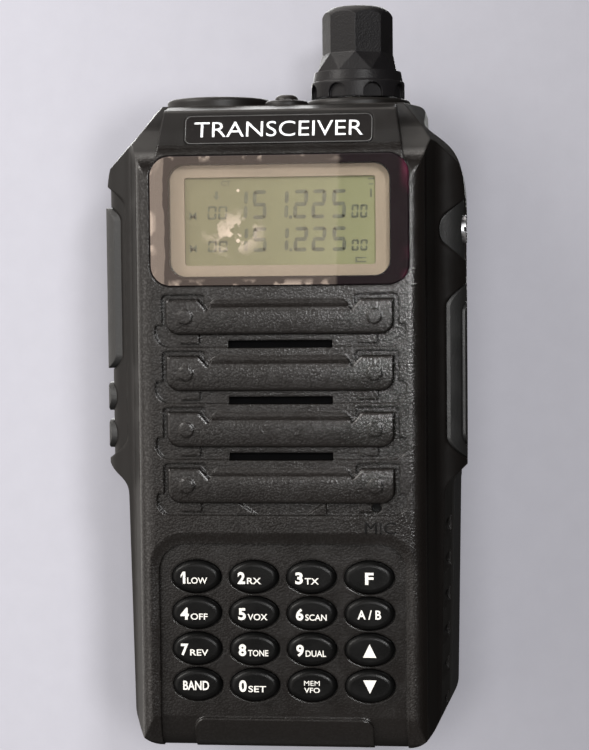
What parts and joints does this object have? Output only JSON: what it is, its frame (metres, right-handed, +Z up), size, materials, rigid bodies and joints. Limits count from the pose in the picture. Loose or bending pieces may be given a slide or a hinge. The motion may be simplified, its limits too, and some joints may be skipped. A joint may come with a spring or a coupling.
{
  "type": "handheld aviation transceiver",
  "caption": "Upright handheld radio with a display, louvred speaker front, keypad, top knob, antenna port, side talk key, covered jacks and a slide-off battery pack.",
  "frame": {"origin": "under the middle of the radio, on the plane its base stands on", "axes": "+Z up the radio's height, +Y towards the battery, +X to the right of someone facing the keypad"},
  "size_m": [0.0611, 0.0358, 0.1246],
  "materials": {
    "housing_plastic": "fine moulded grain",
    "cast_chassis": "matt black over die casting",
    "seal_rubber": "satin",
    "side_rubber": "satin",
    "key_rubber": "satin with printed legends",
    "membrane_rubber": "translucent matt",
    "screw_steel": "plain",
    "plate_gloss": "gloss",
    "window_clear": "clear gloss",
    "printed_frame": "satin print",
    "display_glass": "satin",
    "backlight_plastic": "frosted",
    "dome_steel": "bright",
    "board_laminate": "solder mask",
    "cloth_black": "woven",
    "speaker_frame": "zinc plate",
    "speaker_paper": "film",
    "capsule_aluminium": "satin",
    "moulded_black": "satin",
    "knob_plastic": "satin",
    "pot_metal": "nickel plate",
    "port_brass": "gold plate",
    "insulator_white": "satin",
    "pack_plastic": "fine moulded grain",
    "cell_wrap": "shrink film"
  },
  "bodies": {
    "case": {"front_housing": "housing_plastic", "rear_chassis": "cast_chassis", "case_gasket": "seal_rubber", "cover_anchor": "seal_rubber", "keypad_membrane": "membrane_rubber", "chassis_screws": "screw_steel", "cover_screw": "screw_steel", "ptt_pin": "screw_steel", "latch_spring": "screw_steel", "speaker_magnet": "screw_steel", "nameplate": "plate_gloss", "display_lens": "window_clear", "status_lens": "window_clear", "display_frame": "printed_frame", "display_panel": "display_glass", "display_backlight": "backlight_plastic", "key_domes": "dome_steel", "shield_cans": "dome_steel", "control_board": "board_laminate", "rf_board": "board_laminate", "speaker_cloth": "cloth_black", "speaker_basket": "speaker_frame", "speaker_cone": "speaker_paper", "microphone_capsule": "capsule_aluminium", "board_connector": "moulded_black", "side_switches": "moulded_black", "jack_block": "moulded_black", "terminal_block": "moulded_black", "volume_pot": "pot_metal", "pot_nut": "pot_metal", "antenna_connector": "port_brass", "antenna_contact": "port_brass", "battery_contacts": "port_brass", "antenna_insulator": "insulator_white"},
    "knob": {"volume_knob": "knob_plastic", "pot_shaft": "pot_metal"},
    "ptt": {"ptt_paddle": "side_rubber"},
    "upper_side_key": {"side_key_upper": "side_rubber"},
    "lower_side_key": {"side_key_lower": "side_rubber"},
    "cover": {"accessory_cover": "seal_rubber"},
    "battery": {"battery_tray": "pack_plastic", "battery_cover": "pack_plastic", "battery_cells": "cell_wrap"},
    "latch": {"battery_latch": "pack_plastic"},
    "key_1_button": {"key_1": "key_rubber"},
    "key_2_button": {"key_2": "key_rubber"},
    "key_3_button": {"key_3": "key_rubber"},
    "key_function_button": {"key_function": "key_rubber"},
    "key_4_button": {"key_4": "key_rubber"},
    "key_5_button": {"key_5": "key_rubber"},
    "key_6_button": {"key_6": "key_rubber"},
    "key_main_button": {"key_main": "key_rubber"},
    "key_7_button": {"key_7": "key_rubber"},
    "key_8_button": {"key_8": "key_rubber"},
    "key_9_button": {"key_9": "key_rubber"},
    "key_up_button": {"key_up": "key_rubber"},
    "key_band_button": {"key_band": "key_rubber"},
    "key_0_button": {"key_0": "key_rubber"},
    "key_memory_button": {"key_memory": "key_rubber"},
    "key_down_button": {"key_down": "key_rubber"}
  },
  "joints": [
    {"name": "volume_turn", "type": "hinge", "parent": "case", "child": "knob", "pos_m": [0.012, 0.001, 0.11], "axis": [0, 0, 1], "range_deg": [-150, 150]},
    {"name": "ptt_press", "type": "hinge", "parent": "case", "child": "ptt", "pos_m": [-0.027, -0.0046, 0.0883], "axis": [0, -1, 0], "range_deg": [0, 1.9]},
    {"name": "upper_side_key_press", "type": "slide", "parent": "case", "child": "upper_side_key", "axis": [1, 0, 0], "range_m": [0, 0.0005]},
    {"name": "lower_side_key_press", "type": "slide", "parent": "case", "child": "lower_side_key", "axis": [1, 0, 0], "range_m": [0, 0.0005]},
    {"name": "cover_swing", "type": "hinge", "parent": "case", "child": "cover", "pos_m": [0.0305, -0.0046, 0.0776], "axis": [0, -1, 0], "range_deg": [0, 100]},
    {"name": "battery_release", "type": "slide", "parent": "case", "child": "battery", "axis": [0, 1, 0], "range_m": [0, 0.03]},
    {"name": "latch_slide", "type": "slide", "parent": "case", "child": "latch", "axis": [0, 0, 1], "range_m": [0, 0.003], "deforming": ["latch_spring"]},
    {"name": "key_1_press", "type": "slide", "parent": "case", "child": "key_1_button", "axis": [0, 1, 0], "range_m": [0, 0.0004]},
    {"name": "key_2_press", "type": "slide", "parent": "case", "child": "key_2_button", "axis": [0, 1, 0], "range_m": [0, 0.0004]},
    {"name": "key_3_press", "type": "slide", "parent": "case", "child": "key_3_button", "axis": [0, 1, 0], "range_m": [0, 0.0004]},
    {"name": "key_function_press", "type": "slide", "parent": "case", "child": "key_function_button", "axis": [0, 1, 0], "range_m": [0, 0.0004]},
    {"name": "key_4_press", "type": "slide", "parent": "case", "child": "key_4_button", "axis": [0, 1, 0], "range_m": [0, 0.0004]},
    {"name": "key_5_press", "type": "slide", "parent": "case", "child": "key_5_button", "axis": [0, 1, 0], "range_m": [0, 0.0004]},
    {"name": "key_6_press", "type": "slide", "parent": "case", "child": "key_6_button", "axis": [0, 1, 0], "range_m": [0, 0.0004]},
    {"name": "key_main_press", "type": "slide", "parent": "case", "child": "key_main_button", "axis": [0, 1, 0], "range_m": [0, 0.0004]},
    {"name": "key_7_press", "type": "slide", "parent": "case", "child": "key_7_button", "axis": [0, 1, 0], "range_m": [0, 0.0004]},
    {"name": "key_8_press", "type": "slide", "parent": "case", "child": "key_8_button", "axis": [0, 1, 0], "range_m": [0, 0.0004]},
    {"name": "key_9_press", "type": "slide", "parent": "case", "child": "key_9_button", "axis": [0, 1, 0], "range_m": [0, 0.0004]},
    {"name": "key_up_press", "type": "slide", "parent": "case", "child": "key_up_button", "axis": [0, 1, 0], "range_m": [0, 0.0004]},
    {"name": "key_band_press", "type": "slide", "parent": "case", "child": "key_band_button", "axis": [0, 1, 0], "range_m": [0, 0.0004]},
    {"name": "key_0_press", "type": "slide", "parent": "case", "child": "key_0_button", "axis": [0, 1, 0], "range_m": [0, 0.0004]},
    {"name": "key_memory_press", "type": "slide", "parent": "case", "child": "key_memory_button", "axis": [0, 1, 0], "range_m": [0, 0.0004]},
    {"name": "key_down_press", "type": "slide", "parent": "case", "child": "key_down_button", "axis": [0, 1, 0], "range_m": [0, 0.0004]}
  ]
}
